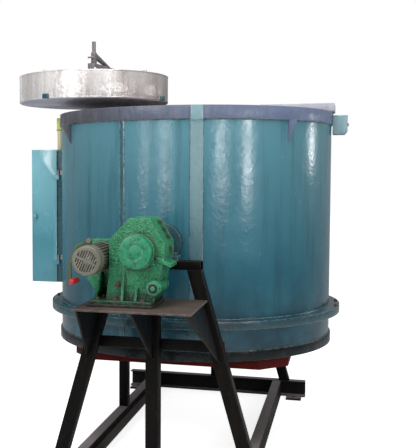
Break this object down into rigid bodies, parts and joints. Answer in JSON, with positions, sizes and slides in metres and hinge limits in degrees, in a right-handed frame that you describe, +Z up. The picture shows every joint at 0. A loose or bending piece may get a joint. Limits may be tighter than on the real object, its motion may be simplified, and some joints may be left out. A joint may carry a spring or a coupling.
{
  "type": "induction melting furnace",
  "caption": "Tilting induction melting furnace: a steel drum with a pouring launder and swing lid, on trunnions between two A-frames, with a geared tilt motor.",
  "frame": {"origin": "on the ground, under the tilt axis, midway between the two A-frames", "axes": "+Z up; +X towards the pouring launder; the gearbox and motor are on the -Y side; the tilt axis runs along Y"},
  "size_m": [2.0684, 2.77, 2.54],
  "materials": {
    "stand_paint": "matte",
    "platform_steel": "matte",
    "bearing_iron": "matte",
    "gear_case_paint": "satin",
    "base_plate_steel": "matte",
    "motor_paint": "satin",
    "machined_steel": "satin",
    "gear_steel": "satin",
    "bolt_steel": "matte",
    "lever_paint": "satin",
    "grip_red": "satin",
    "shell_paint": "satin",
    "band_steel": "satin",
    "strap_paint": "satin",
    "ring_steel": "satin",
    "pan_red": "matte",
    "top_steel": "matte",
    "launder_ceramic": "matte",
    "lining_ceramic": "matte",
    "block_ceramic": "matte",
    "lid_fibre": "matte",
    "lid_paint": "matte",
    "arm_paint": "matte",
    "copper": "satin",
    "yoke_steel": "matte",
    "fixing_steel": "satin",
    "panel_paint": "satin",
    "conduit_paint": "satin"
  },
  "bodies": {
    "stand": {"front_cross_beam": "stand_paint", "rear_cross_beam": "stand_paint", "left_side_beam": "stand_paint", "right_side_beam": "stand_paint", "front_legs": "stand_paint", "rear_legs": "stand_paint", "front_rails": "stand_paint", "rear_rails": "stand_paint", "rest_post": "stand_paint", "rest_pad": "platform_steel", "platform_plate": "platform_steel", "platform_brackets": "platform_steel", "front_bearing": "bearing_iron", "rear_bearing": "bearing_iron", "gearbox_rear_housing": "gear_case_paint", "gearbox_front_housing": "gear_case_paint", "gearbox_covers": "gear_case_paint", "gearbox_base_plate": "base_plate_steel", "gearbox_flange_bolts": "bolt_steel", "motor_body": "motor_paint", "motor_cowl": "motor_paint"},
    "furnace": {"drum_shell": "shell_paint", "drum_bands": "band_steel", "shell_straps": "strap_paint", "stiffener_ring": "ring_steel", "bottom_pan": "pan_red", "top_plate": "top_steel", "mouth_ring": "lining_ceramic", "launder": "launder_ceramic", "spout_bracket": "strap_paint", "crucible_lining": "lining_ceramic", "refractory_blocks": "block_ceramic", "induction_coil": "copper", "coil_leads": "copper", "magnetic_yokes": "yoke_steel", "coil_fixings": "fixing_steel", "terminal_box": "panel_paint", "door_hinges": "fixing_steel", "conduit": "conduit_paint", "front_trunnion": "machined_steel", "rear_trunnion": "machined_steel", "drive_coupling": "machined_steel", "gearbox_output_shaft": "machined_steel", "output_gear": "gear_steel", "post_brackets": "arm_paint"},
    "lid_arm": {"swing_post": "arm_paint", "swing_arm": "arm_paint", "rod_guide": "arm_paint"},
    "lid": {"lid_shell": "lid_paint", "lid_lining": "lid_fibre", "lift_rod": "arm_paint"},
    "terminal_door": {"terminal_door": "panel_paint"},
    "lay_shaft": {"lay_shaft": "gear_steel", "lay_shaft_gear": "gear_steel"},
    "motor_rotor": {"motor_rotor": "machined_steel", "motor_pinion": "gear_steel", "motor_fan": "gear_steel"},
    "release_lever": {"release_lever": "lever_paint", "lever_grip": "grip_red"}
  },
  "joints": [
    {"name": "furnace_tilt", "type": "hinge", "parent": "stand", "child": "furnace", "pos_m": [0, 0, 1.313], "axis": [0, 1, 0], "range_deg": [0, 60]},
    {"name": "lid_swing", "type": "hinge", "parent": "furnace", "child": "lid_arm", "pos_m": [-0.51438, 0.78884, 2], "axis": [0, 0, 1], "range_deg": [-50, 36.8]},
    {"name": "lid_lift", "type": "slide", "parent": "lid_arm", "child": "lid", "axis": [0, 0, 1], "range_m": [-0.0475, 0]},
    {"name": "door_swing", "type": "hinge", "parent": "furnace", "child": "terminal_door", "pos_m": [-0.861, -0.141, 1.41], "axis": [0, 0, 1], "range_deg": [0, 95]},
    {"name": "lay_shaft_spin", "type": "hinge", "parent": "stand", "child": "lay_shaft", "pos_m": [-0.10414, -1.33, 1.22709], "axis": [0, 1, 0], "continuous": true},
    {"name": "motor_spin", "type": "hinge", "parent": "stand", "child": "motor_rotor", "pos_m": [-0.224, -1.39, 1.272], "axis": [0, 1, 0], "continuous": true},
    {"name": "brake_release", "type": "hinge", "parent": "stand", "child": "release_lever", "pos_m": [-0.236, -1.476, 1.362], "axis": [0, 1, 0], "range_deg": [0, 20], "stiffness_Nm_per_rad": 6, "springref_deg": -11.46}
  ],
  "couplings": [
    {"joint": "lay_shaft_spin", "follows": "furnace_tilt", "ratio": -3.6154},
    {"joint": "motor_spin", "follows": "furnace_tilt", "ratio": 14.183}
  ]
}
